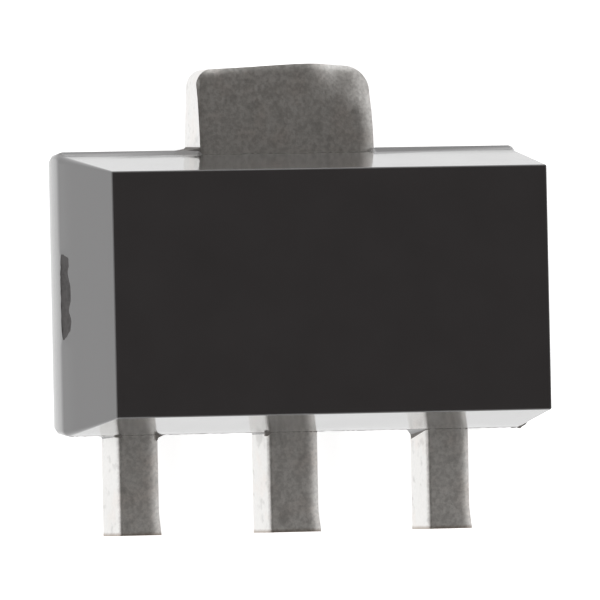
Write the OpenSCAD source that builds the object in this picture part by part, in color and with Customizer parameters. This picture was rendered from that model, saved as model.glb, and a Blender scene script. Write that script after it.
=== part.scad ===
// Voltage regulator chip in the SOT-89 outline, lying on its base.
// +Z leaves the marked face, +Y points along the tab, and lead 1 is at -X.
// The origin is on the seating plane, under the middle of the outline.

/* [Moulded body] */
// Width of the body at its parting line
body_w = 4.45; // [4.2:0.01:4.8]
// Length of the body at its parting line, lead side to tab side
body_l = 2.52; // [2.4:0.01:2.7]
// Height of the body above the seating plane
body_h = 1.5; // [1.35:0.01:1.7]
// How far each side wall leans in between the parting line and the marked face
side_lean = 0.125; // [0.06:0.005:0.2]
// How far each end wall leans in between the parting line and the marked face
end_lean = 0.153; // [0.06:0.003:0.2]
// How far every wall leans in below the parting line
base_lean = 0.07; // [0.03:0.01:0.1]
// Step on the tab side, where the lower half of the moulding is longer
tab_step = 0.042; // [0.02:0.002:0.08]
// Radius of the edges round the marked face
face_edge_r = 0.03; // [0.01:0.01:0.06]
// Radius of the upright corners below the parting line
base_corner_r = 0.1; // [0.05:0.01:0.2]

/* [Gate scar] */
// Length of the scar that the broken gate leaves on the left wall
scar_l = 0.745; // [0.4:0.005:0.9]
// Height of the scar
scar_h = 0.19; // [0.1:0.01:0.3]
// Height of the scar's straight edge above the parting line
scar_gap = 0.03; // [0.02:0.01:0.1]
// Depth of the scar
scar_depth = 0.03; // [0.02:0.01:0.06]

/* [Lead frame] */
// Thickness of the lead frame
frame_t = 0.405; // [0.35:0.005:0.45]
// Distance between neighbouring leads
lead_pitch = 1.5; // [1.4:0.01:1.6]
// Width of the outer leads
outer_lead_w = 0.39; // [0.34:0.01:0.48]
// Width of the centre lead
centre_lead_w = 0.48; // [0.4:0.01:0.56]
// Length of the leads outside the body
lead_l = 0.91; // [0.7:0.01:1.2]
// Width of the tab and of the paddle's exposed face
tab_w = 1.66; // [1.5:0.01:1.83]
// Length of the tab outside the body
tab_l = 0.755; // [0.5:0.005:0.9]
// Radius of the tab's corner on the side of lead 1
tab_corner_1 = 0.15; // [0.1:0.01:0.4]
// Radius of the tab's corner on the side of lead 3
tab_corner_3 = 0.22; // [0.1:0.01:0.45]

/* [Paddle, inside the body] */
// Thickness left above the coined steps of the paddle and the posts
coined_t = 0.2; // [0.12:0.01:0.25]
// How far the coined lip stands out past the exposed face
lip_w = 0.08; // [0.04:0.01:0.12]
// How far the lip runs on along the centre lead past the taper
lip_tail = 0.15; // [0.1:0.01:0.25]
// Distance from the lead-side wall to the narrow end of the paddle's taper
taper_start = 0.5; // [0.35:0.05:0.7]
// Length of the paddle's taper
taper_l = 0.6; // [0.4:0.05:0.8]
// Radius of the anchor notches in the paddle's sides
notch_r = 0.13; // [0.08:0.01:0.18]
// Distance from the tab-side wall to the anchor notches
notch_in = 0.34; // [0.25:0.01:0.4]
// Width of the groove that stops moisture along the paddle
groove_w = 0.1; // [0.06:0.01:0.12]
// Depth of that groove
groove_depth = 0.06; // [0.03:0.01:0.1]
// Distance from the tab-side wall to the middle of the groove
groove_in = 0.6; // [0.55:0.01:0.65]

/* [Bonding posts, inside the body] */
// Full-thickness length of an outer lead inside the body
heel_l = 0.32; // [0.2:0.01:0.4]
// Width of a bonding post
post_w = 0.72; // [0.5:0.02:0.8]
// Length of a bonding post
post_l = 0.44; // [0.36:0.02:0.5]
// Length of the neck that widens from the lead to its post
neck_l = 0.26; // [0.15:0.01:0.3]
// Radius of a post's corners
post_corner_r = 0.05; // [0.02:0.01:0.1]
// How far a post's middle is shifted towards the paddle from its lead
post_shift = 0.06; // [0:0.01:0.08]

/* [Die] */
// Size of the die along X
die_w = 0.98; // [0.7:0.02:1.04]
// Size of the die along Y
die_l = 0.9; // [0.7:0.02:0.94]
// Thickness of the die
die_t = 0.22; // [0.15:0.01:0.3]
// Distance from the tab-side wall to the die
die_in = 0.76; // [0.74:0.01:0.8]
// Thickness of the die attach layer
attach_t = 0.03; // [0.02:0.005:0.05]
// How far the die attach shows round the die
attach_rim = 0.04; // [0.02:0.005:0.06]

/* [Bond wires] */
// Diameter of the bond wires
wire_d = 0.05; // [0.03:0.005:0.06]
// Diameter of the ball where a wire starts on the die
ball_d = 0.11; // [0.09:0.005:0.13]
// Height of that ball
ball_h = 0.05; // [0.03:0.005:0.06]
// Rise of a wire above the die before it turns over
loop_rise = 0.18; // [0.12:0.01:0.25]
// Radius of the turn at the top of a wire
turn_r = 0.06; // [0.04:0.005:0.07]
// Radius of the curve where a wire comes down to its stitch
foot_r = 0.08; // [0.06:0.005:0.09]
// Length of the stitch
stitch_l = 0.06; // [0.05:0.005:0.07]
// Width of the stitch
stitch_w = 0.11; // [0.08:0.01:0.13]
// Distance from the die's edge to a wire's ball
pad_in = 0.14; // [0.08:0.01:0.2]
// Distance from the paddle's side to the stitch of the ground wire
ground_in = 0.03; // [0.01:0.01:0.05]

/* [Hidden] */
$fn = 48;
// Steps in each arc, sides of a wire, and a cut's overrun past the surface it starts from
arc_steps = 6;
wire_sides = 8;
over = 0.05;

half_w = body_w / 2;
half_l = body_l / 2;
// Where the lead frame leaves the body, and how far its ends reach
tab_wall = half_l + tab_step;
tab_end = tab_wall + tab_l;
lead_end = -half_l - lead_l;
// The outline's middle along Y, which is where the origin lies
mid_y = (tab_end + lead_end) / 2;
lead_x = lead_pitch;
coined_z = frame_t - coined_t;
// The paddle's taper, from its wide end to its narrow one
taper_narrow = -half_l + taper_start;
taper_wide = taper_narrow + taper_l;
// The lip runs from the notches to a little way along the centre lead
notch_y = half_l - notch_in;
groove_y = half_l - groove_in;
lip_lead_end = taper_narrow - lip_tail;
heel_end = -half_l + heel_l;
post_start = heel_end + neck_l;
post_end = post_start + post_l;
post_x = lead_x - post_shift;
die_y = half_l - die_in - die_l / 2;
die_top = frame_t + attach_t + die_t;
// Height of a wire's middle over the frame at its stitch, where it is pressed a little flat
wire_low = wire_d * 0.3;
stitch_t = wire_d * 0.5;
// Outline of a squashed ball: share of its height, and its radius as a share of its diameter
ball_profile = [[0, 0.4], [0.3, 0.5], [0.7, 0.5], [1, 0.38]];
pad_x = die_w / 2 - pad_in;
pad_y = die_y - die_l / 2 + pad_in;
stitch_y = (post_start + post_end) / 2;
ground_pad_y = die_y + die_l / 2 - pad_in;
ground_x = tab_w / 2 - ground_in;

// Direction from point a to point b, and the points of one rounded corner
function towards(a, b) = (b - a) / norm(b - a);
function corner(before, at, after, r) =
    let (
        u = towards(at, before),
        v = towards(at, after),
        half = acos(u * v) / 2,
        middle = at + towards([0, 0], u + v) * r / sin(half),
        first = at + u * r / tan(half) - middle,
        side = sign(u.x * v.y - u.y * v.x),
        turn = side * (2 * half - 180)
    )
    r == 0 ? [at] : [
        for (i = [0 : arc_steps])
            let (a = turn * i / arc_steps)
            middle + [first.x * cos(a) - first.y * sin(a), first.x * sin(a) + first.y * cos(a)]
    ];
// An outline with each corner rounded by its own radius, given as [x, y, radius]
function rounded(corners) =
    let (n = len(corners))
    [
        for (i = [0 : n - 1])
            let (a = corners[(i + n - 1) % n], b = corners[i], c = corners[(i + 1) % n])
            each corner([a.x, a.y], [b.x, b.y], [c.x, c.y], b[2])
    ];

// Outline of the moulding seen along Y: both halves lean in from the parting line
function front_outline() = [
    [-half_w + base_lean, 0, 0],
    [half_w - base_lean, 0, 0],
    [half_w, frame_t, 0],
    [half_w - side_lean, body_h, face_edge_r],
    [-half_w + side_lean, body_h, face_edge_r],
    [-half_w, frame_t, 0]
];
// Outline of the moulding seen along X, with the step at the parting line on the tab side
function side_outline() = [
    [-half_l + base_lean, 0, 0],
    [tab_wall - base_lean, 0, 0],
    [tab_wall, frame_t, 0],
    [half_l, frame_t, 0],
    [half_l - end_lean, body_h, face_edge_r],
    [-half_l + end_lean, body_h, face_edge_r],
    [-half_l, frame_t, 0]
];

// The two drafted halves of the moulding as one block
module drafted_block() {
    intersection() {
        translate([0, tab_wall + over, 0])
            rotate([90, 0, 0])
                linear_extrude(body_l + tab_step + 2 * over)
                    polygon(rounded(front_outline()));
        translate([-half_w - over, 0, 0])
            rotate([90, 0, 90])
                linear_extrude(body_w + 2 * over)
                    polygon(rounded(side_outline()));
    }
}

// What is cut from one upright corner below the parting line to round it
module base_corner_cut() {
    translate([-base_corner_r, -base_corner_r, -over])
        linear_extrude(frame_t + over)
            difference() {
                square(base_corner_r + over);
                circle(base_corner_r);
            }
}

// Scar of the broken gate: a segment of a disc, its straight edge along the parting line
module gate_scar() {
    disc_r = (scar_l * scar_l / 4 + scar_h * scar_h) / (2 * scar_h);
    translate([-half_w - over, 0, frame_t + scar_gap])
        rotate([90, 0, 90])
            linear_extrude(over + scar_depth)
                difference() {
                    translate([0, scar_h - disc_r])
                        circle(disc_r);
                    translate([-disc_r, -2 * disc_r])
                        square(2 * disc_r);
                }
}

// The black moulding, cast round everything that it holds
module moulded_body() {
    color("#2f2d2e")
        difference() {
            drafted_block();
            for (side = [0, 1])
                mirror([side, 0, 0]) {
                    translate([half_w, tab_wall, 0])
                        base_corner_cut();
                    translate([half_w, -half_l, 0])
                        mirror([0, 1, 0])
                            base_corner_cut();
                }
            gate_scar();
            tab_and_lead_2();
            lead_1();
            lead_3();
            die_attach();
            regulator_die();
            lead_1_wire();
            lead_3_wire();
            ground_wire();
        }
}

// One side of the paddle and what it joins, from the lead's end to the tab's end
function paddle_side(grow, from, to, end_r) = [
    [centre_lead_w / 2 + grow, from, 0],
    [centre_lead_w / 2 + grow, taper_narrow, 0],
    [tab_w / 2 + grow, taper_wide, 0],
    [tab_w / 2 + grow, to, end_r]
];
// The same side on the other side of the part, in the opposite order
function opposite(corners) = [
    for (i = [len(corners) - 1 : -1 : 0])
        [-corners[i].x, corners[i].y, corners[i][2]]
];

// Tab, die paddle and centre lead, stamped in one piece
module tab_and_lead_2() {
    right = paddle_side(0, lead_end, tab_end, tab_corner_3);
    left = paddle_side(0, lead_end, tab_end, tab_corner_1);
    lip = paddle_side(lip_w, lip_lead_end, notch_y, 0);
    color("#9b9893")
        difference() {
            union() {
                linear_extrude(frame_t)
                    polygon(rounded(concat(right, opposite(left))));
                translate([0, 0, coined_z])
                    linear_extrude(coined_t)
                        polygon(rounded(concat(lip, opposite(lip))));
            }
            for (x = [-tab_w / 2, tab_w / 2])
                translate([x, notch_y, -over])
                    cylinder(r = notch_r, h = frame_t + 2 * over);
            translate([-half_w, groove_y, frame_t])
                rotate([90, 0, 90])
                    linear_extrude(body_w)
                        polygon([[-groove_w / 2, 0], [0, -groove_depth], [groove_w / 2, 0]]);
        }
}

// An outer lead: full thickness to its heel, then a coined neck and a wide bonding post
module outer_lead() {
    linear_extrude(frame_t)
        translate([lead_x - outer_lead_w / 2, lead_end])
            square([outer_lead_w, heel_end - lead_end]);
    translate([0, 0, coined_z])
        linear_extrude(coined_t)
            polygon(rounded([
                [lead_x + outer_lead_w / 2, -half_l, 0],
                [lead_x + outer_lead_w / 2, heel_end, 0],
                [post_x + post_w / 2, post_start, post_corner_r],
                [post_x + post_w / 2, post_end, post_corner_r],
                [post_x - post_w / 2, post_end, post_corner_r],
                [post_x - post_w / 2, post_start, post_corner_r],
                [lead_x - outer_lead_w / 2, heel_end, 0],
                [lead_x - outer_lead_w / 2, -half_l, 0]
            ]));
}

module lead_1() {
    color("#9b9893")
        mirror([1, 0, 0])
            outer_lead();
}

module lead_3() {
    color("#9b9893")
        outer_lead();
}

// A flat layer with round corners, lying on the paddle under the die
module die_attach() {
    w = die_w / 2 + attach_rim;
    l = die_l / 2 + attach_rim;
    color("#8c8c90")
        translate([0, die_y, frame_t])
            linear_extrude(attach_t)
                polygon(rounded([
                    [-w, -l, attach_rim],
                    [w, -l, attach_rim],
                    [w, l, attach_rim],
                    [-w, l, attach_rim]
                ]));
}

module regulator_die() {
    color("#5d6470")
        translate([-die_w / 2, die_y - die_l / 2, frame_t + attach_t])
            cube([die_w, die_l, die_t]);
}

// Height between a wire's turn and its foot when it comes down at the angle slope
function wire_drop(slope, run) =
    wire_span(slope, run) * tan(slope) + foot_r * (1 - cos(slope)) - turn_r * cos(slope);
// Length of the straight stretch of a wire, seen from above
function wire_span(slope, run) =
    run - stitch_l - turn_r - (turn_r + foot_r) * sin(slope);
// The slope at which a wire of a given run drops by a given height, found by halving
function wire_slope(run, drop, low = 0, high = 85, tries = 24) =
    let (slope = (low + high) / 2)
    tries == 0 ? slope
        : wire_drop(slope, run) < drop ? wire_slope(run, drop, slope, high, tries - 1)
        : wire_slope(run, drop, low, slope, tries - 1);

// Route of a wire from its pad to its stitch, with the frame's top at height 0. Each entry is
// [distance, height, heading, half width, half thickness] of one ring round the wire.
function wire_rings(run, base, slope) =
    let (
        r = wire_d / 2,
        top = base + loop_rise,
        foot = run - stitch_l
    )
    concat(
        [
            for (ring = ball_profile)
                [0, base + ring.x * ball_h, 90, ring.y * ball_d, ring.y * ball_d]
        ],
        [[0, base + ball_h, 90, r, r]],
        [
            for (i = [0 : arc_steps])
                let (turned = (90 + slope) * i / arc_steps)
                [turn_r * (1 - cos(turned)), top + turn_r * sin(turned), 90 - turned, r, r]
        ],
        [
            for (i = [0 : arc_steps])
                let (left = slope * (1 - i / arc_steps))
                [foot - foot_r * sin(left), wire_low + foot_r * (1 - cos(left)), -left, r, r]
        ],
        [
            [foot + stitch_l / 2, stitch_t / 2, 0, stitch_w / 2, stitch_t / 2],
            [run, stitch_t / 4, 0, stitch_w / 3, stitch_t / 4]
        ]
    );
// Points of one ring. What would reach below the frame's top is pressed flat on it.
function ring_points(ring) = [
    for (i = [0 : wire_sides - 1])
        let (
            a = (i + 0.5) * 360 / wire_sides,
            across = ring[3] * cos(a),
            up = ring[4] * sin(a)
        )
        [ring[0] - up * sin(ring[2]), across, max(0, ring[1] + up * cos(ring[2]))]
];

// A wire that rises from its ball at a pad on the die, turns over and comes down to a stitch
// on the lead frame
module bond_wire(pad, stitch) {
    way = stitch - pad;
    run = norm(way);
    base = die_top - frame_t;
    slope = wire_slope(run, base + loop_rise - wire_low);
    rings = wire_rings(run, base, slope);
    last = len(rings) - 1;
    color("#d9b45a")
        translate([pad.x, pad.y, frame_t])
            rotate([0, 0, atan2(way.y, way.x)])
                polyhedron(
                    points = [for (ring = rings) each ring_points(ring)],
                    faces = concat(
                        [[for (i = [0 : wire_sides - 1]) i]],
                        [[for (i = [wire_sides - 1 : -1 : 0]) last * wire_sides + i]],
                        [
                            for (n = [0 : last - 1], i = [0 : wire_sides - 1])
                                let (next = (i + 1) % wire_sides)
                                [
                                    n * wire_sides + i,
                                    (n + 1) * wire_sides + i,
                                    (n + 1) * wire_sides + next,
                                    n * wire_sides + next
                                ]
                        ]
                    )
                );
}

module lead_1_wire() {
    bond_wire([-pad_x, pad_y], [-post_x, stitch_y]);
}

module lead_3_wire() {
    bond_wire([pad_x, pad_y], [post_x, stitch_y]);
}

module ground_wire() {
    bond_wire([pad_x, ground_pad_y], [ground_x, ground_pad_y]);
}

// The outline's middle comes to the origin
translate([0, -mid_y, 0]) {
    moulded_body();
    tab_and_lead_2();
    lead_1();
    lead_3();
    die_attach();
    regulator_die();
    lead_1_wire();
    lead_3_wire();
    ground_wire();
}
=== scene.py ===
# %% [markdown]
# A voltage regulator chip, drawn at its real size
#
# The object is a surface-mount regulator 4.45 mm wide: a block of black moulding compound
# with a wide cooling tab on one side and three flat leads on the other. It lies on its base
# with the marked face up, +Y runs from the leads to the tab, and lead 1 is at -X. The solids
# of the frame give every place, and this script adds the finish that the eye sees: the lean
# and the rounded edges of the moulding, the step where the two mould halves met, the scar of
# the broken gate, the resin that crept out beside the metal, and the rolled edges and matt
# tin of the stamped metal.

# %% Load the frame
import math
import random

import bmesh
import bpy
from mathutils import Matrix, Vector, noise


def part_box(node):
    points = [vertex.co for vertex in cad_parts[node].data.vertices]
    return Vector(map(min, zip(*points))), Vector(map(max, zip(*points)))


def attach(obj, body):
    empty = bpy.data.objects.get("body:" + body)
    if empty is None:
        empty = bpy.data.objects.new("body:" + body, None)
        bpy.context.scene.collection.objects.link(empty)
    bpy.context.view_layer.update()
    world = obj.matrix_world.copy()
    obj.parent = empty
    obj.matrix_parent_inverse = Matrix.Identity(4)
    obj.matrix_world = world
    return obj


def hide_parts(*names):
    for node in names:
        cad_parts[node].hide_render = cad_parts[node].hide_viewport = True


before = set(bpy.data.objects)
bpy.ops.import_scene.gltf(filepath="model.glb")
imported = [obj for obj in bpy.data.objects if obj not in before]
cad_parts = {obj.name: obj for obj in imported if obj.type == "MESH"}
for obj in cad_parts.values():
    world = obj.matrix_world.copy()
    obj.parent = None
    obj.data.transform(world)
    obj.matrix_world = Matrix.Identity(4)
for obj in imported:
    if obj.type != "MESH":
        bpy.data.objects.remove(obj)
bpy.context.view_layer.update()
MM = 0.001
bpy.context.scene.view_settings.view_transform = "Standard"
print("nodes:", ", ".join(sorted(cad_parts)))

# %% [markdown]
# Sizes come first, in millimetres. The frame gives the boxes of the solids, so the moulding's
# width, length and height, the thickness of the lead frame and the reach of tab and leads are
# read from it. What a box can't say, such as how far a wall leans, is a named value here.

# %% Sizes
body_low, body_high = (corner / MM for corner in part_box("moulded_body"))
metal_low, metal_high = (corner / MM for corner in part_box("tab_and_lead_2"))
half_w = (body_high.x - body_low.x) / 2
body_h = body_high.z
frame_t = metal_high.z
lead_wall_y, tab_wall_y = body_low.y, body_high.y
lead_end_y, tab_end_y = metal_low.y, metal_high.y
# On the tab side the upper half of the moulding stands back by this step
tab_step = 0.042
upper_tab_wall_y = tab_wall_y - tab_step
body_mid_y = (lead_wall_y + upper_tab_wall_y) / 2
lead_pitch = 1.5
# Half the width of an outer lead, of the centre lead and of the tab
outer_half, lead_2_half, tab_half = 0.39 / 2, 0.48 / 2, 1.66 / 2
print(f"body {2 * half_w:.3f} x {tab_wall_y - lead_wall_y:.3f} x {body_h:.3f} mm")
print(f"metal {frame_t:.3f} mm thick")

# %% [markdown]
# The camera looks down on the marked face from the side of lead 1. The chip was photographed
# from far away through a long lens, so its edges hardly converge. The view direction, the
# slight roll and the scale were found by fitting the chip's corners to the picture. The
# camera is then aimed so that the middle of the body falls where the picture has it.

# %% Camera
FRAME_PX = 600
body_centre_px = Vector((303.0, 292.0))
px_per_mm = 110.63
camera_distance = 180.0
side_tilt = math.radians(21.09)
end_tilt = math.radians(0.32)
roll = math.radians(1.2)
sensor_mm = 36.0

body_centre = Vector((0, body_mid_y, body_h / 2))
towards_camera = Vector((
    -math.sin(side_tilt) * math.cos(end_tilt),
    -math.sin(end_tilt),
    math.cos(side_tilt) * math.cos(end_tilt),
))
level_right = Vector((math.cos(side_tilt), 0, math.sin(side_tilt)))
level_up = towards_camera.cross(level_right)
right = level_right * math.cos(roll) - level_up * math.sin(roll)
up = level_right * math.sin(roll) + level_up * math.cos(roll)
off_centre = (body_centre_px - Vector((FRAME_PX / 2, FRAME_PX / 2))) / px_per_mm
aim = body_centre - right * off_centre.x + up * off_centre.y

camera = bpy.data.objects.new("camera", bpy.data.cameras.new("camera"))
bpy.context.scene.collection.objects.link(camera)
camera.data.sensor_width = sensor_mm
camera.data.lens = sensor_mm * camera_distance * px_per_mm / FRAME_PX
camera.data.clip_start = 0.01
camera.data.clip_end = 1.0
camera.matrix_world = (
    Matrix.Translation((aim + towards_camera * camera_distance) * MM)
    @ Matrix((right, up, towards_camera)).transposed().to_4x4()
)
bpy.context.scene.camera = camera
print(f"lens {camera.data.lens:.0f} mm at {camera_distance:.0f} mm")

# %% [markdown]
# Every material below is a small graph of nodes. One function adds a node: its settings, its
# input values, and links where a value is another node with the name of its output. Colours
# are written as sRGB hex, as a paint program shows them, and turned linear by one function.

# %% Helpers for materials
def linear(hex_colour):
    channels = [int(hex_colour[i:i + 2], 16) / 255 for i in (1, 3, 5)]
    return [c / 12.92 if c <= 0.04045 else ((c + 0.055) / 1.055) ** 2.4 for c in channels] + [1.0]


def add(tree, kind, settings=None, **inputs):
    """Adds a node. Inputs that share a name are given by their number, as i0 or i6."""
    made = tree.nodes.new("ShaderNode" + kind)
    for name, value in (settings or {}).items():
        setattr(made, name, value)
    for name, value in inputs.items():
        key = int(name[1:]) if name[0] == "i" and name[1:].isdigit() else name.replace("_", " ")
        if isinstance(value, tuple) and hasattr(value[0], "outputs"):
            tree.links.new(value[0].outputs[value[1]], made.inputs[key])
        else:
            made.inputs[key].default_value = value
    return made


def start_material(name):
    material = bpy.data.materials.new(name)
    material.use_nodes = True
    material.node_tree.nodes.clear()
    return material, material.node_tree

# %% [markdown]
# The studio is a white table under soft light. The picture is overexposed around the chip:
# table and background are pure white, and the chip's own shadow is almost lost. The white
# comes from the floor's and the world's own colour as the camera and glossy surfaces see
# them, while the lamps stay at a plain level. High above the table the room is dark. The
# marked face and the upper faces of the metal mirror that dark part, which is why they look
# black and dark grey, while the walls mirror the white table.

# %% World
world = bpy.data.worlds.new("studio")
bpy.context.scene.world = world
world.use_nodes = True
sky = world.node_tree
sky.nodes.clear()
dark_overhead = 0.07
bright_around = 1.0
# Sine of the angle above the table where the white ends, and where the dark begins
white_end, dark_start = 0.45, 0.8
ray = add(sky, "TexCoord")
height = add(sky, "SeparateXYZ", Vector=(ray, "Generated"))
level = add(
    sky, "MapRange", {"interpolation_type": "SMOOTHSTEP"}, Value=(height, "Z"),
    From_Min=white_end, From_Max=dark_start, To_Min=bright_around, To_Max=dark_overhead,
)
seen = add(sky, "LightPath")
strength = add(
    sky, "Mix", {"data_type": "FLOAT"},
    Factor=(seen, "Is Camera Ray"), A=(level, "Result"), B=1.0,
)
tint = add(
    sky, "Mix", {"data_type": "RGBA"},
    Factor=(strength, "Result"), A=linear("#fff5ea"), B=linear("#ffffff"),
)
light = add(sky, "Background", Color=(tint, "Result"), Strength=(strength, "Result"))
add(sky, "OutputWorld", Surface=(light, "Background"))
print(f"world: {bright_around} around the table, {dark_overhead} overhead")

# %% Floor
floor_size = 400 * MM
floor_bm = bmesh.new()
bmesh.ops.create_grid(floor_bm, x_segments=1, y_segments=1, size=floor_size / 2)
floor_mesh = bpy.data.meshes.new("floor")
floor_bm.to_mesh(floor_mesh)
floor_bm.free()
floor = bpy.data.objects.new("floor", floor_mesh)
bpy.context.scene.collection.objects.link(floor)
white_card, tree = start_material("white card")
own_white = 0.8
path = add(tree, "LightPath")
card = add(tree, "BsdfDiffuse", Color=linear("#efefef"))
camera_white = add(
    tree, "Math", {"operation": "MULTIPLY"}, i0=(path, "Is Camera Ray"), i1=own_white,
)
glow = add(tree, "Emission", Color=linear("#ffffff"), Strength=(camera_white, "Value"))
lit_card = add(tree, "AddShader", i0=(card, "BSDF"), i1=(glow, "Emission"))
mirrored = add(
    tree, "Math", {"operation": "MAXIMUM"},
    i0=(path, "Is Glossy Ray"), i1=(path, "Is Transmission Ray"),
)
plain_white = add(tree, "Emission", Color=linear("#ffffff"), Strength=1.0)
card_or_white = add(
    tree, "MixShader",
    i0=(mirrored, "Value"), i1=(lit_card, "Shader"), i2=(plain_white, "Emission"),
)
add(tree, "OutputMaterial", Surface=(card_or_white, "Shader"))
floor.data.materials.append(white_card)
print(f"floor: {floor_size / MM:.0f} mm wide")

# %% Lamps
# In millimetres and watts
lamp_distance, lamp_size, lamp_power = 60, 45, 0.016


def soft_lamp(name, direction):
    lamp = bpy.data.lights.new(name, "AREA")
    lamp.shape = "DISK"
    lamp.size = lamp_size * MM
    lamp.energy = lamp_power
    lamp_object = bpy.data.objects.new(name, lamp)
    bpy.context.scene.collection.objects.link(lamp_object)
    away = Vector(direction).normalized()
    lamp_object.location = away * lamp_distance * MM
    lamp_object.rotation_euler = away.to_track_quat("Z", "Y").to_euler()
    lamp_object.visible_camera = False
    lamp_object.visible_glossy = False
    print(f"{name}: {lamp_power} W")


soft_lamp("left soft box", (-1, -0.5, 0.55))
soft_lamp("back soft box", (0.5, 1, 0.6))

# %% [markdown]
# Moulding compound is epoxy filled with fine silica and coloured with soot. The mould's
# spark-eroded steel leaves a fine satin skin on it. Seen square on it is nearly black, since
# it is a dielectric that throws back only a few hundredths of the light. Seen along its walls
# it turns almost white, because every such surface mirrors strongly at a grazing angle. The
# resin-rich skin lies over the filled body like a thin lacquer, so the shader has a coat.
# Where the compound is broken or has crept out thin, there is no skin: it is rough and dull.
# Where it has crept out over the metal along the wall, its light grey is also painted shade,
# standing in for the shade where the metal meets the wall.

# %% Moulding compound
epoxy_ior = 1.6
grain_mm = 0.03


def epoxy(name, dark, light, rough, grain, coat, cloud_mm):
    """Epoxy with clouds between two colours and two roughnesses, and a fine grain."""
    material, tree = start_material(name)
    place = add(tree, "TexCoord")
    cloud = add(
        tree, "TexNoise", Vector=(place, "Object"),
        Scale=1 / (cloud_mm * MM), Detail=4.0, Roughness=0.6,
    )
    fine = add(
        tree, "TexNoise", Vector=(place, "Object"),
        Scale=1 / (grain_mm * MM), Detail=2.0, Roughness=0.5,
    )
    tone = add(
        tree, "Mix", {"data_type": "RGBA"},
        Factor=(cloud, "Fac"), i6=linear(dark), i7=linear(light),
    )
    roughness = add(
        tree, "MapRange", Value=(cloud, "Fac"),
        From_Min=0.3, From_Max=0.7, To_Min=rough[0], To_Max=rough[1],
    )
    bump = add(tree, "Bump", Height=(fine, "Fac"), Strength=grain, Distance=0.002 * MM)
    shader = add(
        tree, "BsdfPrincipled",
        Base_Color=(tone, "Result"), Roughness=(roughness, "Result"), IOR=epoxy_ior,
        Coat_Weight=coat, Coat_Roughness=0.09, Coat_IOR=epoxy_ior, Normal=(bump, "Normal"),
    )
    add(tree, "OutputMaterial", Surface=(shader, "BSDF"))
    return material


# Satin, black from above and bright at a glancing angle
mould_skin = epoxy(
    "black moulding compound, satin skin", "#2b292a", "#333132",
    rough=(0.16, 0.22), grain=0.3, coat=1.0, cloud_mm=0.5,
)
# Dark grey grains of filler, without gloss
broken_epoxy = epoxy(
    "black moulding compound, broken", "#0f0e0e", "#575454",
    rough=(0.6, 0.75), grain=1.0, coat=0.0, cloud_mm=0.2,
)
# Dull resin that crept out thin. Its light grey is also painted shade where it lies over the
# metal along the wall, standing in for the shade at the metal's roots
resin_bleed_and_painted_shade = epoxy(
    "resin bleed and painted root shade, thin and dull", "#5a5755", "#87837f",
    rough=(0.6, 0.75), grain=1.0, coat=0.0, cloud_mm=0.1,
)
print("epoxy:", mould_skin.name, "|", broken_epoxy.name, "|", resin_bleed_and_painted_shade.name)

# %% [markdown]
# The lead frame is stamped from copper strip and plated with matt tin. The tin grows in tiny
# crystals, so it is a metal with a broad, soft gloss, a little mottled where the plating is
# thicker or has been handled. It takes nearly all its tone from what it mirrors: dark grey
# where it faces the dark room above, near white where its sides face the table. The colour
# is built in layers, one function each: plating, patches and stains, then bare cut ends.

# %% Colour of the tin
def patchy_tin(tree, handled, patches, stains, texture):
    """White tin, warmer where it was handled, and greyer in patches and stains."""
    warmth = add(
        tree, "MapRange", Value=(handled, "Fac"),
        From_Min=0.5, From_Max=0.7, To_Min=0.0, To_Max=1.0,
    )
    plating = add(
        tree, "Mix", {"data_type": "RGBA"},
        Factor=(warmth, "Result"), i6=linear("#fbfaf8"), i7=linear("#fbf6f2"),
    )
    patchy = add(
        tree, "MapRange", Value=(patches, "Fac"),
        From_Min=0.62, From_Max=0.38, To_Min=0.0, To_Max=0.45,
    )
    grey = add(
        tree, "Math", {"operation": "MULTIPLY"}, i0=(patchy, "Result"), i1=(texture, "Result"),
    )
    mottled = add(
        tree, "Mix", {"data_type": "RGBA"},
        Factor=(grey, "Value"), i6=(plating, "Result"), i7=linear("#c9c8c6"),
    )
    stained = add(
        tree, "MapRange", {"interpolation_type": "SMOOTHSTEP"}, Value=(stains, "Fac"),
        From_Min=0.55, From_Max=0.72, To_Min=0.0, To_Max=0.3,
    )
    return add(
        tree, "Mix", {"data_type": "RGBA"},
        Factor=(stained, "Result"), i6=(mottled, "Result"), i7=linear("#aaa8a5"),
    )


def bare_at_cut_ends(tree, tin, where, patches):
    """The punch leaves the cut end of each lead without tin, so copper shows there."""
    ragged_mm, full_mm, fade_mm = 0.008, 0.004, 0.035
    ragged = add(
        tree, "MapRange", Value=(patches, "Fac"), To_Min=-ragged_mm * MM, To_Max=ragged_mm * MM,
    )
    from_cut = add(
        tree, "Math", {"operation": "ADD"}, i0=(where, "Y"), i1=(ragged, "Result"),
    )
    bare = add(
        tree, "MapRange", Value=(from_cut, "Value"), To_Min=0.7, To_Max=0.0,
        From_Min=(lead_end_y + full_mm) * MM, From_Max=(lead_end_y + fade_mm) * MM,
    )
    return add(
        tree, "Mix", {"data_type": "RGBA"},
        Factor=(bare, "Result"), i6=(tin, "Result"), i7=linear("#9a8674"),
    )

# %% Matt tin
handled_mm, stain_mm, patch_mm = 0.4, 0.15, 0.035
# Real crystals are a few micrometres wide and would not show
crystal_mm = 0.02


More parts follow.
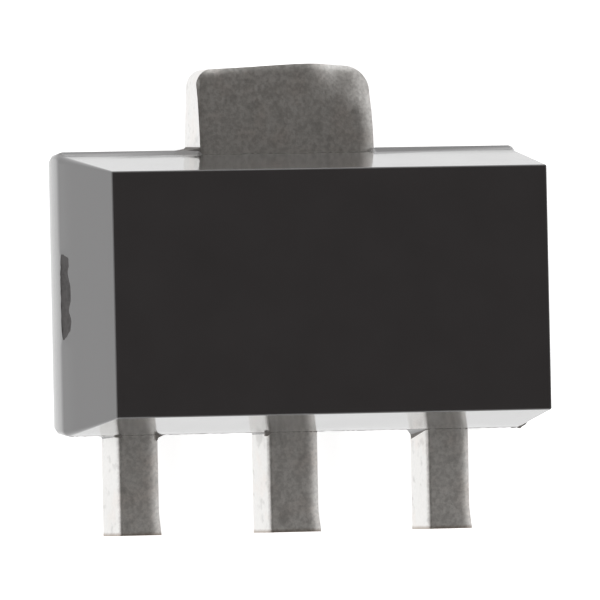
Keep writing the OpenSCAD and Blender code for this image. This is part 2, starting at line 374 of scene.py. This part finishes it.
def matt_tin(name):
    material, tree = start_material(name)
    place = add(tree, "TexCoord")
    where = add(tree, "SeparateXYZ", Vector=(place, "Object"))
    handled, stains, patches, crystals = (
        add(
            tree, "TexNoise", Vector=(place, "Object"),
            Scale=1 / (size * MM), Detail=3.0, Roughness=0.55,
        )
        for size in (handled_mm, stain_mm, patch_mm, crystal_mm)
    )
    # The punch burnishes the sheared sides, so they have less texture than the faces
    facing = add(tree, "NewGeometry")
    upright = add(tree, "SeparateXYZ", Vector=(facing, "Normal"))
    levelness = add(tree, "Math", {"operation": "ABSOLUTE"}, i0=(upright, "Z"))
    texture = add(
        tree, "MapRange", Value=(levelness, "Value"), From_Max=0.7, To_Min=0.2, To_Max=1.0,
    )
    tin_colour = patchy_tin(tree, handled, patches, stains, texture)
    metal = bare_at_cut_ends(tree, tin_colour, where, patches)
    # The mould clamps the tab flatter than the leads, so it is a little smoother
    smoother = add(
        tree, "MapRange", Value=(where, "Y"),
        From_Min=lead_wall_y * MM, From_Max=tab_wall_y * MM, To_Min=0.08, To_Max=0.0,
    )
    mottle = add(
        tree, "MapRange", Value=(patches, "Fac"),
        From_Min=0.3, From_Max=0.7, To_Min=0.36, To_Max=0.44,
    )
    roughness = add(
        tree, "Math", {"operation": "ADD"}, i0=(mottle, "Result"), i1=(smoother, "Result"),
    )
    relief = add(tree, "Math", {"operation": "MULTIPLY"}, i0=(texture, "Result"), i1=0.6)
    bump = add(
        tree, "Bump", Height=(crystals, "Fac"), Strength=(relief, "Value"), Distance=0.002 * MM,
    )
    shader = add(
        tree, "BsdfPrincipled", Base_Color=(metal, "Result"), Metallic=1.0,
        Roughness=(roughness, "Value"), Normal=(bump, "Normal"),
    )
    add(tree, "OutputMaterial", Surface=(shader, "BSDF"))
    return material


tin = matt_tin("matt tin plate")
print("metal:", tin.name)

# %% [markdown]
# Every piece is made in millimetres and scaled to metres at the end. Edges that turn more
# than the smooth angle stay sharp. The rounding tool notes which faces are flat and which are
# its own, and a Weighted Normal modifier reads that: along a rounded edge each point takes
# the direction of the flat face beside it, so flat faces stay flat right up to their edge. It
# is applied before the scaling, because in metres these faces are too small for it.

# %% Helpers that finish a piece
smooth_angle = math.radians(35)
# Points closer than this, in millimetres, are one point, and a little further off still nearby
same_place, nearby = 1e-4, 1e-3


def apply_modifiers(piece):
    bpy.context.view_layer.update()
    finished = piece.evaluated_get(bpy.context.evaluated_depsgraph_get())
    old, piece.data = piece.data, bpy.data.meshes.new_from_object(finished)
    piece.modifiers.clear()
    bpy.data.meshes.remove(old)


def cut_out(piece, cutter):
    cut = piece.modifiers.new("cut", "BOOLEAN")
    cut.operation = "DIFFERENCE"
    cut.solver = "EXACT"
    cut.use_self = True
    cut.material_mode = "TRANSFER"
    cut.object = cutter
    apply_modifiers(piece)
    bpy.data.objects.remove(cutter)


def sharpen(mesh):
    bm = bmesh.new()
    bm.from_mesh(mesh)
    for e in bm.edges:
        e.smooth = e.smooth and e.calc_face_angle(math.pi) < smooth_angle
    for f in bm.faces:
        f.smooth = True
    bm.to_mesh(mesh)
    bm.free()


def finish_piece(bm, name, materials, cutter=None):
    bmesh.ops.remove_doubles(bm, verts=bm.verts, dist=same_place)
    bmesh.ops.recalc_face_normals(bm, faces=bm.faces)
    mesh = bpy.data.meshes.new(name)
    bm.to_mesh(mesh)
    bm.free()
    for material in materials:
        mesh.materials.append(material)
    piece = bpy.data.objects.new(name, mesh)
    bpy.context.scene.collection.objects.link(piece)
    if cutter:
        cut_out(piece, cutter)
    sharpen(piece.data)
    flat_faces = piece.modifiers.new("flat faces stay flat", "WEIGHTED_NORMAL")
    flat_faces.keep_sharp = True
    flat_faces.use_face_influence = True
    apply_modifiers(piece)
    piece.data.name = name
    piece.data.transform(Matrix.Scale(MM, 4))
    print(f"{name}: {len(piece.data.vertices)} vertices, {len(piece.data.polygons)} faces")
    return piece


def declare(piece, node):
    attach(piece, "root")
    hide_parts(node)

# %% [markdown]
# Three small tools shape the pieces. Rounding marks its own faces as weaker than the flat
# ones. Cutting puts edges into a mesh where it has to bend later, and moves nothing itself.
# A ramp rises smoothly from 0 to 1, so what it moves starts and ends without a kink.

# %% Helpers for shapes
def round_edges(bm, edges, radius, segments):
    bmesh.ops.bevel(
        bm, geom=edges, offset=radius, offset_type="OFFSET", segments=segments,
        profile=0.5, affect="EDGES", material=-1, clamp_overlap=True,
        face_strength_mode="ALL",
    )


def cut_at(bm, places, across, low_y=-math.inf, high_y=math.inf):
    """Cuts the mesh between low_y and high_y at each place along the direction across."""
    for place in places:
        faces = [f for f in bm.faces if low_y < f.calc_center_median().y < high_y]
        edges = list({e for f in faces for e in f.edges})
        verts = list({v for f in faces for v in f.verts})
        bmesh.ops.bisect_plane(
            bm, geom=faces + edges + verts, plane_co=Vector(across) * place, plane_no=across,
        )


def kind_of(result, kind):
    return [item for item in result["geom"] if isinstance(item, kind)]


def ramp(value, start, length):
    """Rises smoothly from 0 at start to 1 at start + length."""
    share = min(1.0, max(0.0, (value - start) / length))
    return share * share * (3 - 2 * share)

# %% [markdown]
# The moulding is made the way its mould is shaped, ring by ring. It starts as the rectangle
# of the base and is extruded to the parting line, where the walls stand furthest out. There
# the ring is drawn in on the tab side, because the two mould halves were a touch apart: that
# is the narrow ledge which shows as a dark line. The last ring is the marked face. One more,
# a quarter of the way up the upper walls, leaves them straight: it keeps the gate scar, which
# is cut later, in a low band of faces, so that the rest of each wall stays plain.

# %% Rings of the moulding
side_lean, end_lean = 0.125, 0.153
base_lean, belly_lean = 0.07, 0.02
waist_share = 0.24
# Pads and leads stand this much proud of the black underside
seat_gap = 0.015
belly_z = 0.21
parting_z = frame_t - 0.004
ledge_z = parting_z + 0.07
waist_z = 0.72


def lower_ring(z, lean):
    return z, half_w - lean, lead_wall_y + lean, tab_wall_y - lean


def upper_ring(z, share):
    """The upper walls have leaned in by this share of their whole lean."""
    lean_x, lean_y = side_lean * share, end_lean * share
    return z, half_w - lean_x, lead_wall_y + lean_y, upper_tab_wall_y - lean_y


# Each has its height, half its width, and its places on the lead side and on the tab side
waist = upper_ring(waist_z, waist_share)
rings = (
    lower_ring(seat_gap, base_lean), lower_ring(belly_z, belly_lean), lower_ring(parting_z, 0),
    upper_ring(ledge_z, 0), waist, upper_ring(body_h, 1),
)


def place_ring(face, z, ring_half_w, lead_y, tab_y):
    middle = face.calc_center_median()
    for v in face.verts:
        x = ring_half_w if v.co.x > middle.x else -ring_half_w
        v.co = Vector((x, tab_y if v.co.y > middle.y else lead_y, z))


body_bm = bmesh.new()
bmesh.ops.create_grid(body_bm, x_segments=1, y_segments=1, size=0.5)
underside = body_bm.faces[:][0]
place_ring(underside, *rings[0])
ring_face = underside
for ring in rings[1:]:
    raised = kind_of(bmesh.ops.extrude_face_region(body_bm, geom=[ring_face]), bmesh.types.BMFace)
    if ring_face is not underside:
        bmesh.ops.delete(body_bm, geom=[ring_face], context="FACES_ONLY")
    ring_face = raised[0]
    place_ring(ring_face, *ring)
print("moulding:", len(rings), "rings")

# %% [markdown]
# A mould's edges are never quite sharp, so the base, the marked face and the upright corners
# get a small radius. The parting line keeps its sharp edge. Towards the parting line the
# corners of a real mould are blunter, since that is where each half was milled, so the
# rounding is spread there: four times as wide at the parting line, unchanged at the ends.

# %% Edges of the moulding
edge_r, edge_steps = 0.016, 6
blunt = 4.0
near_corner = 0.03


def level_edges(z):
    return [e for e in body_bm.edges if all(abs(v.co.z - z) < same_place for v in e.verts)]


def ring_at(z):
    """Half width, lead side and tab side of the moulding at any height."""
    # The waist can be left out, because it lies on the straight wall
    outline = [ring for ring in rings if ring is not waist]
    for (low_z, *low), (high_z, *high) in zip(outline, outline[1:]):
        if z < high_z:
            break
    share = (z - low_z) / (high_z - low_z)
    return [a + (b - a) * share for a, b in zip(low, high)]


def is_upright(edge):
    return abs(edge.verts[0].co.z - edge.verts[1].co.z) > 0.05


upright_edges = [e for e in body_bm.edges if is_upright(e)]
rim_edges = level_edges(body_h) + level_edges(seat_gap)
round_edges(body_bm, upright_edges + rim_edges, edge_r, edge_steps)
for v in body_bm.verts:
    ring_half_w, lead_y, tab_y = ring_at(v.co.z)
    corner = Vector((math.copysign(ring_half_w, v.co.x), lead_y if v.co.y < body_mid_y else tab_y))
    inwards = v.co.xy - corner
    if max(abs(inwards.x), abs(inwards.y)) < near_corner:
        above_base = (v.co.z - seat_gap) / (parting_z - seat_gap)
        below_top = (body_h - v.co.z) / (body_h - parting_z)
        v.co.xy = corner + inwards * (1 + (blunt - 1) * min(1, above_base, below_top))
print("moulding:", len(body_bm.verts), "vertices after rounding")

# %% Ledge at the tab
# Over the tab there is no lower half, so the ledge stops at the tab's two edges: within a
# short end on the left, and over a gentle slope on the right
ledge_end, ledge_slope = 0.012, 0.03
ledge_left, ledge_right = -tab_half, tab_half - ledge_slope
ledge_cuts = (ledge_left - ledge_end, ledge_left, ledge_right, tab_half + ledge_slope)
cut_at(body_bm, ledge_cuts, (1, 0, 0))
# Two cuts beside the gate scar keep the walls' shading even round it
beside_scar = 0.45
cut_at(body_bm, (body_mid_y - beside_scar, body_mid_y + beside_scar), (0, 1, 0))
# Between them the ledge's points go back to the upper wall, and a hair further
hair = 0.001
for v in body_bm.verts:
    on_ledge = v.co.y > upper_tab_wall_y - 2 * hair and belly_z < v.co.z < ledge_z + 2 * hair
    if on_ledge and ledge_left - hair < v.co.x < ledge_right + hair:
        v.co.y = upper_tab_wall_y - hair
for z in (parting_z, ledge_z):
    for e in level_edges(z):
        e.smooth = False
print("moulding:", len(body_bm.verts), "vertices with its ledge")

# %% [markdown]
# Where metal leaves the mould the two halves never close quite tight. Resin creeps out beside
# each lead and hardens as a thin web in the corner, as high as the metal is thick. Some webs
# are torn and dull, others have kept a skin. They are wedges with a hollow edge, drawn in
# plan and extruded.

# %% Resin webs
# Places of these materials in the moulding's list
SKIN, BLEED_AND_PAINTED_SHADE = 0, 2
# Points of the hollow edge, as shares of the web's width and of its reach
hollow_edge = ((1, 0), (0.6, 0.2), (0.13, 0.55), (0, 1))


def web(corner_x, width, reach, top_share, torn, wall_y=lead_wall_y, outwards=-1):
    """A wedge beside the metal. Its top has top_share of its reach, and the torn part is dull."""
    inside, web_z = 0.05, seat_gap + 0.01
    rim = [(corner_x, wall_y - outwards * inside), (corner_x + width, wall_y - outwards * inside)]
    for across, out in hollow_edge:
        rim.append((corner_x + width * across, wall_y + outwards * reach * out))
    plan = body_bm.faces.new([body_bm.verts.new((x, y, web_z)) for x, y in rim])
    tops = kind_of(bmesh.ops.extrude_face_region(body_bm, geom=[plan]), bmesh.types.BMVert)
    for f in {f for v in tops for f in v.link_faces}:
        is_torn = all(abs(v.co.x - corner_x) < abs(width) * torn for v in f.verts)
        f.material_index = BLEED_AND_PAINTED_SHADE if is_torn else SKIN
    # A top with less of the reach is narrower too
    top_width = 0.4 + 0.6 * top_share
    for v in tops:
        off_wall = (v.co.y - wall_y) * outwards
        v.co.z = parting_z
        if off_wall > 0:
            v.co.y = wall_y + outwards * off_wall * top_share
        v.co.x = corner_x + (v.co.x - corner_x) * top_width


# Edge of the metal, width (below 0 to the left), reach, share of it at the top, torn share
for corner_x, width, reach, top_share, torn in (
    (-lead_pitch - outer_half, -0.06, 0.03, 0.5, 0.0),
    (-lead_pitch + outer_half, 0.085, 0.055, 1.0, 1.1),
    (-lead_2_half, -0.035, 0.02, 0.9, 0.0),
    (lead_2_half, 0.04, 0.02, 0.5, 0.0),
    (lead_pitch - outer_half, -0.05, 0.09, 0.1, 0.15),
    (lead_pitch + outer_half, 0.035, 0.012, 1.0, 0.0),
):
    web(corner_x, width, reach, top_share, torn)
web(-tab_half, -0.15, 0.035, 0.8, 1.1, wall_y=tab_wall_y, outwards=1)
print("moulding:", len(body_bm.verts), "vertices with its webs")

# %% [markdown]
# A little resin also bleeds over the upper faces of the metal, as a thin ragged skin along
# the wall. Its grey there is also painted shade, standing in for the shade where the metal
# meets the wall. The resin also wraps the left edges of leads 1 and 2 as small drops. A
# thread of it stands along the parting line, and at the corner beside lead 3 it peels off as a
# curl of flash. All of these are one kind of strip: a grid whose outer edge is moved at random
# and which is then extruded down. The curl is such a strip wound round a small circle.

# %% Resin bleed and flash, with painted shade at the metal's roots
film_z = frame_t + 0.002
film_step, film_t = 0.025, 0.03
# Least and greatest share of its reach that the outer edge has
film_ragged = (0.2, 1.2)
rolled_edge = 0.05


def film(low_x, high_x, wall_y, outwards, reach, z, seed):
    """A ragged strip of resin along a wall, at height z. Over the metal's roots the strip is also
    painted shade. Returns its vertices.
    """
    dice = random.Random(seed)
    # The inner edge lies this far inside the wall, and this much higher
    inside, rise = 0.04, 0.004
    count = max(4, round((high_x - low_x) / film_step))
    grid = bmesh.ops.create_grid(body_bm, x_segments=count, y_segments=1, size=0.5)["verts"]
    for v in grid:
        outer = v.co.y * outwards > 0
        off_wall = reach * dice.uniform(*film_ragged) if outer else -inside
        x = low_x + (v.co.x + 0.5) * (high_x - low_x)
        v.co = Vector((x, wall_y + outwards * off_wall, z + (0 if outer else rise)))
    faces = list({f for v in grid for f in v.link_faces})
    sunk = kind_of(bmesh.ops.extrude_face_region(body_bm, geom=faces), bmesh.types.BMVert)
    bmesh.ops.translate(body_bm, verts=sunk, vec=(0, 0, -film_t))
    for f in {f for v in grid + sunk for f in v.link_faces}:
        f.material_index = BLEED_AND_PAINTED_SHADE
    return grid + sunk


# Over the metal, up to where its right edge rolls down: thin resin skins that are also painted shade
# at the metal's roots
for number, (x, half) in enumerate(
    ((-lead_pitch, outer_half), (0, lead_2_half), (lead_pitch, outer_half)),
):
    film(x - half, x + half - rolled_edge, lead_wall_y, -1, 0.008, film_z, number)
film(-tab_half, tab_half - rolled_edge, upper_tab_wall_y, 1, 0.006, film_z, 7)
# Drops on the left edges of leads 1 and 2
lead_1_left = -lead_pitch - outer_half
film(lead_1_left - 0.015, lead_1_left + 0.05, lead_wall_y, -1, 0.022, film_z, 5)
film(-lead_2_half - 0.02, -lead_2_half + 0.045, lead_wall_y, -1, 0.035, film_z, 6)
# The thread along the parting line
film(-half_w + 0.08, half_w - 0.08, lead_wall_y, -1, 0.004, parting_z, 8)
# The curl of flash
curl_r = 0.07
curl_x, curl_y = half_w - 0.01, lead_wall_y + curl_r
for v in film(curl_x - 0.07, curl_x + 0.085, lead_wall_y, -1, 0.014, parting_z, 9):
    turn = max(0, v.co.x - curl_x) / curl_r
    if turn > 0:
        off_wall = lead_wall_y - v.co.y
        radius = curl_r + (off_wall if off_wall > 0 else 0.2 * off_wall)
        v.co.x = curl_x + radius * math.sin(turn)
        v.co.y = curl_y - radius * math.cos(turn)
print("moulding:", len(body_bm.verts), "vertices with its resin bleed")

# %% [markdown]
# The resin enters the mould through a gate in the side of lead 1. When the runner is broken
# off, it tears a shallow D-shaped scar out of the wall, just above the parting line, and its
# floor is rough and dull. The scar is cut with a Boolean modifier. Its cutter is a grid whose
# upper edge follows the broken outline and whose inner side is crumpled with noise. The
# cutter's own material comes along, so the floor of the scar is broken epoxy.

# %% Gate scar
scar_l, scar_w, scar_gap, scar_depth = 0.77, 0.2, 0.05, 0.02
scar_centre_y = body_mid_y - 0.005
# The lower edge rises towards both ends, and the floor has a least depth
end_rise, least_depth = 0.03, 0.003
# Width of the scar along it, from the tab's end to the leads' end, as a share of its greatest
scar_outline = (
    (0, 0.2), (0.05, 0.78), (0.14, 0.84), (0.2, 0.74), (0.42, 1.0), (0.52, 1.0),
    (0.66, 0.8), (0.78, 1.0), (0.88, 0.9), (0.95, 0.55), (1, 0.15),
)


def outline_share(along):
    for (start, low), (end, high) in zip(scar_outline, scar_outline[1:]):
        if along <= end:
            return low + (high - low) * ramp(along, start, end - start)


def wall_x(z):
    """Where the left wall stands at height z, between its ledge and its waist."""
    return -half_w + side_lean * waist_share * max(0, (z - ledge_z) / (waist_z - ledge_z))


def frayed(y):
    """How far the scar's lower edge wanders at y, in waves of two sizes."""
    return 0.012 * noise.noise(Vector((y * 14, 5, 0))) + 0.008 * noise.noise(Vector((y * 45, 9, 0)))


def crumpled(y, z):
    """How far the scar's floor departs from its depth, in lumps of two sizes."""
    lumps, grains = noise.noise(Vector((y, z, 0)) * 22), noise.noise(Vector((y, z, 3)) * 60)
    return 0.55 * lumps + 0.35 * grains


scar_bm = bmesh.new()
bmesh.ops.create_grid(scar_bm, x_segments=56, y_segments=14, size=0.5)
for v in scar_bm.verts:
    along, across = 0.5 - v.co.x, v.co.y + 0.5
    y = scar_centre_y + (0.5 - along) * scar_l
    low_edge = scar_gap + frayed(y) + end_rise * abs(2 * along - 1) ** 6
    z = parting_z + low_edge + across * (scar_w * outline_share(along) - frayed(y))
    rim_share = min(1, 6 * min(along, 1 - along, across + 0.05, 1.03 - across))
    depth = max(least_depth, scar_depth * rim_share * (0.75 + crumpled(y, z)))
    v.co = Vector((wall_x(z) + depth, y, z))
opening = bmesh.ops.extrude_face_region(scar_bm, geom=scar_bm.faces[:])
for v in kind_of(opening, bmesh.types.BMVert):
    v.co.x = -half_w - 0.05
bmesh.ops.recalc_face_normals(scar_bm, faces=scar_bm.faces)
scar_mesh = bpy.data.meshes.new("gate scar cutter")
scar_bm.to_mesh(scar_mesh)
scar_bm.free()
scar_mesh.materials.append(broken_epoxy)
scar_cutter = bpy.data.objects.new("gate scar cutter", scar_mesh)
bpy.context.scene.collection.objects.link(scar_cutter)
print("gate scar:", len(scar_mesh.vertices), "vertices in its cutter")

# %% Moulding
moulding = finish_piece(
    body_bm, "epoxy_moulding", [mould_skin, broken_epoxy, resin_bleed_and_painted_shade], cutter=scar_cutter,
)
declare(moulding, "moulded_body")

# %% [markdown]
# Tab, paddle and centre lead are one stamping, and so is each outer lead with its bonding
# post. What lies inside the moulding is taken over from the frame's own solid: a copy is
# merged, its flat faces are joined again, and it is cut off just inside the wall. The part
# in view is grown from the cut edge, so that it can have what the punch leaves on real
# strip: a small rounding along the left edge and the tip, and on the right side a wide soft
# roll, where the punch pulled the metal down before it sheared.

# %% Helpers for the stampings
# Inside the moulding the metal is cut off at the first place of each pair, and from the
# second one on, just inside the wall, it has its whole finish
tab_cut_y, tab_visible_y = upper_tab_wall_y - 0.19, upper_tab_wall_y - 0.03
lead_cut_y, lead_visible_y = lead_wall_y + 0.17, lead_wall_y + 0.03


def merged_copy(node):
    bm = bmesh.new()
    bm.from_mesh(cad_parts[node].data)
    bmesh.ops.scale(bm, vec=(1 / MM, 1 / MM, 1 / MM), verts=bm.verts)
    bmesh.ops.remove_doubles(bm, verts=bm.verts, dist=same_place)
    bmesh.ops.dissolve_limit(bm, angle_limit=math.radians(1), verts=bm.verts, edges=bm.edges)
    for e in bm.edges:
        e.smooth = True
    return bm


def grow_end(bm, cut_y, end_y):
    """Cuts the metal at cut_y and grows it again to end_y. Returns its new end's vertices."""
    away = math.copysign(1, end_y - cut_y)
    cut = bmesh.ops.bisect_plane(
        bm, geom=bm.verts[:] + bm.edges[:] + bm.faces[:],
        plane_co=(0, cut_y, 0), plane_no=(0, away, 0), clear_outer=True,
    )
    rim = [item for item in cut["geom_cut"] if isinstance(item, bmesh.types.BMEdge)]
    ends = kind_of(bmesh.ops.extrude_edge_only(bm, edges=rim), bmesh.types.BMVert)
    for v in ends:
        v.co.y = end_y
    bmesh.ops.edgeloop_fill(bm, edges=[e for e in bm.edges if all(v in ends for v in e.verts)])
    return ends


def roll_down(distance, depth, width):
    """How far the upper face has sunk at this distance from its edge."""
    return depth * (1 - min(1.0, max(0.0, distance) / width)) ** 2

# %% Leads: cut and press
left_edge_r, tip_r, lead_edge_steps = 0.04, 0.022, 4
tip_places = [lead_end_y + reach for reach in (0.06, 0.12, 0.19, 0.27)]
flare, flare_l = 0.022, 0.28


def cut_lead(bm, left_x, right_x):
    """Rounds a lead's left edge and tip a little, and cuts it where its right edge rolls down."""
    def upper_edges(is_on):
        def counts(v):
            return v.co.z > frame_t - same_place and v.co.y < lead_cut_y + same_place and is_on(v.co)

        return [e for e in bm.edges if all(counts(v) for v in e.verts)]

    left_edges = upper_edges(lambda place: place.x < left_x + nearby)
    round_edges(bm, left_edges, left_edge_r, lead_edge_steps)
    tip_edges = upper_edges(lambda place: place.y < lead_end_y + nearby)
    round_edges(bm, tip_edges, tip_r, lead_edge_steps)
    cut_at(bm, [lead_visible_y] + tip_places, (0, 1, 0), lead_end_y, lead_cut_y)
    roll_places = [right_x - reach for reach in (0.03, 0.06, 0.09, 0.13)]
    cut_at(bm, roll_places, (1, 0, 0), lead_end_y, lead_cut_y)


def press_lead(bm, left_x, right_x, roll_depth, roll_w, spread):
    """Rolls the right edge down, spreads that side, and flares it towards the tip."""
    for v in bm.verts:
        if v.co.y > lead_cut_y - same_place:
            continue
        in_view = ramp(lead_cut_y - v.co.y, 0, lead_cut_y - lead_visible_y)
        if v.co.z > frame_t / 2:
            v.co.z -= in_view * roll_down(right_x - v.co.x, roll_depth, roll_w)
        if v.co.x > (left_x + right_x) / 2:
            at_tip = ramp(lead_end_y + flare_l - v.co.y, 0, flare_l) ** 2
            v.co.x += in_view * spread + flare * at_tip

# %% [markdown]
# The tab is pulled down most at its end and right corner, less along its right side and
# hardly at its left corner. Its end isn't quite straight either: it swells a little right of
# the middle. Both were read from the picture. The tab's upper face is first cut finely enough
# to follow that, then each vertex is moved by what the functions give at its place.

# %% Tab: shape of its roll and its outline
left_corner_r, right_corner_r = 0.15, 0.22
# Depth and width of the roll along each edge
right_roll, right_roll_at_end = (0.026, 0.16), (0.06, 0.42)
left_corner_roll, end_roll, left_roll = (0.02, 0.13), (0.01, 0.06), (0.009, 0.05)
# Start and length of the ramps over which these set in
end_ramp, right_ramp = (1.62, 0.3), (0.25, 0.3)
left_ramp, left_end_ramp, bulge_ramp = (0.35, 0.3), (1.8, 0.2), (1.75, 0.3)
# The end stands back, but for a bulge that is narrower on its right
end_back, bulge_out, bulge_x, bulge_right_w, bulge_left_w = 0.025, 0.04, 0.25, 0.4, 0.6
# The right side stands out at the moulding and hardly at the end
right_out, right_out_at_end = 0.032, 0.004
# At the end the left side has moved outwards at its top and inwards at its base
left_top_shift, left_base_shift = -0.022, 0.028


def rounded_distance(x, y, radius):
    """Distance inwards from the tab's right side and end, round its corner."""
    inner_x, inner_y = tab_half - radius, tab_end_y - radius
    if x > inner_x and y > inner_y:
        return radius - math.hypot(x - inner_x, y - inner_y)
    return min(tab_half - x, tab_end_y - y)


def tab_sunk(x, y):
    """How far the punch has pulled the tab's upper face down at x, y."""
    at_end = ramp(y, *end_ramp)
    depth, width = (a + (b - a) * at_end for a, b in zip(right_roll, right_roll_at_end))
    at_right = roll_down(rounded_distance(x, y, right_corner_r), depth, width)
    at_left_corner = roll_down(rounded_distance(-x, y, left_corner_r), *left_corner_roll)
    return (
        ramp(x, *right_ramp) * at_right
        + ramp(-x, *left_ramp) * ramp(y, *left_end_ramp) * at_left_corner
        + roll_down(tab_end_y - y, *end_roll) + roll_down(x + tab_half, *left_roll)
    )


def end_bulge(x):
    """How far the tab's end stands out beyond its nominal place at x."""
    bulge_w = bulge_right_w if x > bulge_x else bulge_left_w
    return bulge_out * math.exp(-((x - bulge_x) / bulge_w) ** 2) - end_back


def side_shift(x, along, high):
    """How far a point of the tab moves sideways. Those on its middle line stay."""
    if x > 0:
        return (right_out * (1 - along) + right_out_at_end * along) * x / tab_half
    return (left_top_shift if high else left_base_shift) * along * -x / tab_half


corner_sunk = tab_sunk(tab_half, tab_end_y)
print(f"tab: right corner {corner_sunk:.3f} mm down, end out by {end_bulge(bulge_x):.3f} mm")

# %% Tab and centre lead
tab_bm = merged_copy("tab_and_lead_2")
tab_ends = grow_end(tab_bm, tab_cut_y, tab_end_y)
corner_edges = [e for e in tab_bm.edges if is_upright(e) and all(v in tab_ends for v in e.verts)]
for edge in corner_edges:
    bmesh.ops.bevel(
        tab_bm, geom=[edge], offset=right_corner_r if edge.verts[0].co.x > 0 else left_corner_r,
        offset_type="OFFSET", segments=10, profile=0.5, affect="EDGES", material=-1,
    )
tab_top = [
    f for f in tab_bm.faces
    if all(v.co.z > frame_t - same_place and v.co.y > tab_cut_y - same_place for v in f.verts)
]
# Rings along the tab's edge, then rows and columns, give the roll its points
ring_reach, ring_count = 0.135, 5
for _ in range(ring_count):
    bmesh.ops.inset_region(
        tab_bm, faces=tab_top, thickness=ring_reach / ring_count, use_even_offset=True,
    )
tab_rows = (tab_visible_y, 1.45, 1.57, 1.69, 1.77, 1.84, 1.91, 1.95)
tab_columns = (
    -0.8, -0.69, -0.62, -0.48, -0.33, -0.18, -0.04, 0.1,
    0.22, 0.31, 0.4, 0.45, 0.5, 0.56, 0.61, 0.655,
)
cut_at(tab_bm, tab_rows, (0, 1, 0), tab_cut_y, tab_end_y)
cut_at(tab_bm, tab_columns, (1, 0, 0), tab_cut_y, tab_end_y)
grow_end(tab_bm, lead_cut_y, lead_end_y)
cut_lead(tab_bm, -lead_2_half, lead_2_half)
print("tab and centre lead:", len(tab_bm.verts), "vertices")

# %% Press the tab and centre lead
for v in tab_bm.verts:
    x, y, z = v.co
    if y < tab_cut_y + same_place:
        continue
    in_view = ramp(y, tab_cut_y, tab_visible_y - tab_cut_y)
    along = ramp(y, tab_visible_y, tab_end_y - tab_visible_y)
    high = z > frame_t - nearby
    v.co.x += in_view * side_shift(x, along, high)
    v.co.y += end_bulge(x) * along * ramp(y, *bulge_ramp)
    if high:
        v.co.z -= in_view * tab_sunk(x, y)
press_lead(tab_bm, -lead_2_half, lead_2_half, roll_depth=0.028, roll_w=0.12, spread=0.01)
tab_stamping = finish_piece(tab_bm, "tinned_tab_and_centre_lead", [tin])
declare(tab_stamping, "tab_and_lead_2")

# %% Outer leads
for number, middle_x, roll_depth, roll_w, spread in (
    (1, -lead_pitch, 0.028, 0.13, 0.01),
    (3, lead_pitch, 0.02, 0.09, 0.022),
):
    lead_bm = merged_copy(f"lead_{number}")
    grow_end(lead_bm, lead_cut_y, lead_end_y)
    left_x, right_x = middle_x - outer_half, middle_x + outer_half
    cut_lead(lead_bm, left_x, right_x)
    press_lead(lead_bm, left_x, right_x, roll_depth, roll_w, spread)
    lead = finish_piece(lead_bm, f"tinned_lead_{number}", [tin])
    declare(lead, f"lead_{number}")

# %% [markdown]
# The die, its attach layer and the bond wires are sealed in the moulding. They come from the
# frame as they are and only get their materials. The attach is a glue filled with silver
# flakes: grey, half metal and finely speckled.

# %% Silver-filled glue
def silver_glue(name):
    material, tree = start_material(name)
    flake_mm = 0.015
    place = add(tree, "TexCoord")
    flakes = add(tree, "TexVoronoi", Vector=(place, "Object"), Scale=1 / (flake_mm * MM))
    tone = add(
        tree, "Mix", {"data_type": "RGBA"},
        Factor=(flakes, "Distance"), i6=linear("#d6d4cf"), i7=linear("#8f8d89"),
    )
    bump = add(tree, "Bump", Height=(flakes, "Distance"), Strength=0.5, Distance=0.002 * MM)
    shader = add(
        tree, "BsdfPrincipled", Base_Color=(tone, "Result"), Metallic=0.7, Roughness=0.5,
        Normal=(bump, "Normal"),
    )
    add(tree, "OutputMaterial", Surface=(shader, "BSDF"))
    return material

# %% [markdown]
# The die is polished silicon, a dark mirror-like grey on its sawn sides. Its upper face
# carries aluminium pads and tracks, which the shader draws only where the surface looks up.

# %% Polished silicon
def silicon(name):
    material, tree = start_material(name)
    # Real tracks are a hundred times finer and would not show
    cell_mm = 0.12
    place = add(tree, "TexCoord")
    tracks = add(
        tree, "TexBrick", {"offset": 0.5, "squash": 1.0},
        Vector=(place, "Object"), Scale=1 / (cell_mm * MM), Mortar_Size=0.03,
        Color1=linear("#6d6f78"), Color2=linear("#7f7c74"), Mortar=linear("#d0cfca"),
    )
    facing = add(tree, "NewGeometry")
    upright = add(tree, "SeparateXYZ", Vector=(facing, "Normal"))
    on_top = add(tree, "Math", {"operation": "GREATER_THAN"}, i0=(upright, "Z"), i1=0.9)
    tone = add(
        tree, "Mix", {"data_type": "RGBA"},
        Factor=(on_top, "Value"), i6=linear("#55565c"), i7=(tracks, "Color"),
    )
    shader = add(
        tree, "BsdfPrincipled", Base_Color=(tone, "Result"), Metallic=0.6, Roughness=0.2,
    )
    add(tree, "OutputMaterial", Surface=(shader, "BSDF"))
    return material

# %% [markdown]
# The bond wires are pure gold, drawn through a die to half the width of a hair. Drawing
# leaves fine marks, so the gloss varies a little along them.

# %% Drawn gold wire
def drawn_gold(name):
    material, tree = start_material(name)
    # Real marks are finer and would not show
    draw_mark_mm = 0.01
    place = add(tree, "TexCoord")
    marks = add(
        tree, "TexNoise", Vector=(place, "Object"), Scale=1 / (draw_mark_mm * MM), Detail=2.0,
    )
    roughness = add(tree, "MapRange", Value=(marks, "Fac"), To_Min=0.18, To_Max=0.34)
    shader = add(
        tree, "BsdfPrincipled", Base_Color=linear("#e6b64d"), Metallic=1.0,
        Roughness=(roughness, "Result"),
    )
    add(tree, "OutputMaterial", Surface=(shader, "BSDF"))
    return material

# %% Dress the pieces inside
def dress(node, material):
    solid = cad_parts[node]
    solid.data.materials.clear()
    solid.data.materials.append(material)
    print(f"{node}: {material.name}")


dress("die_attach", silver_glue("silver-filled glue"))
dress("regulator_die", silicon("polished silicon"))
gold = drawn_gold("drawn gold wire")
for wire in ("lead_1_wire", "lead_3_wire", "ground_wire"):
    dress(wire, gold)
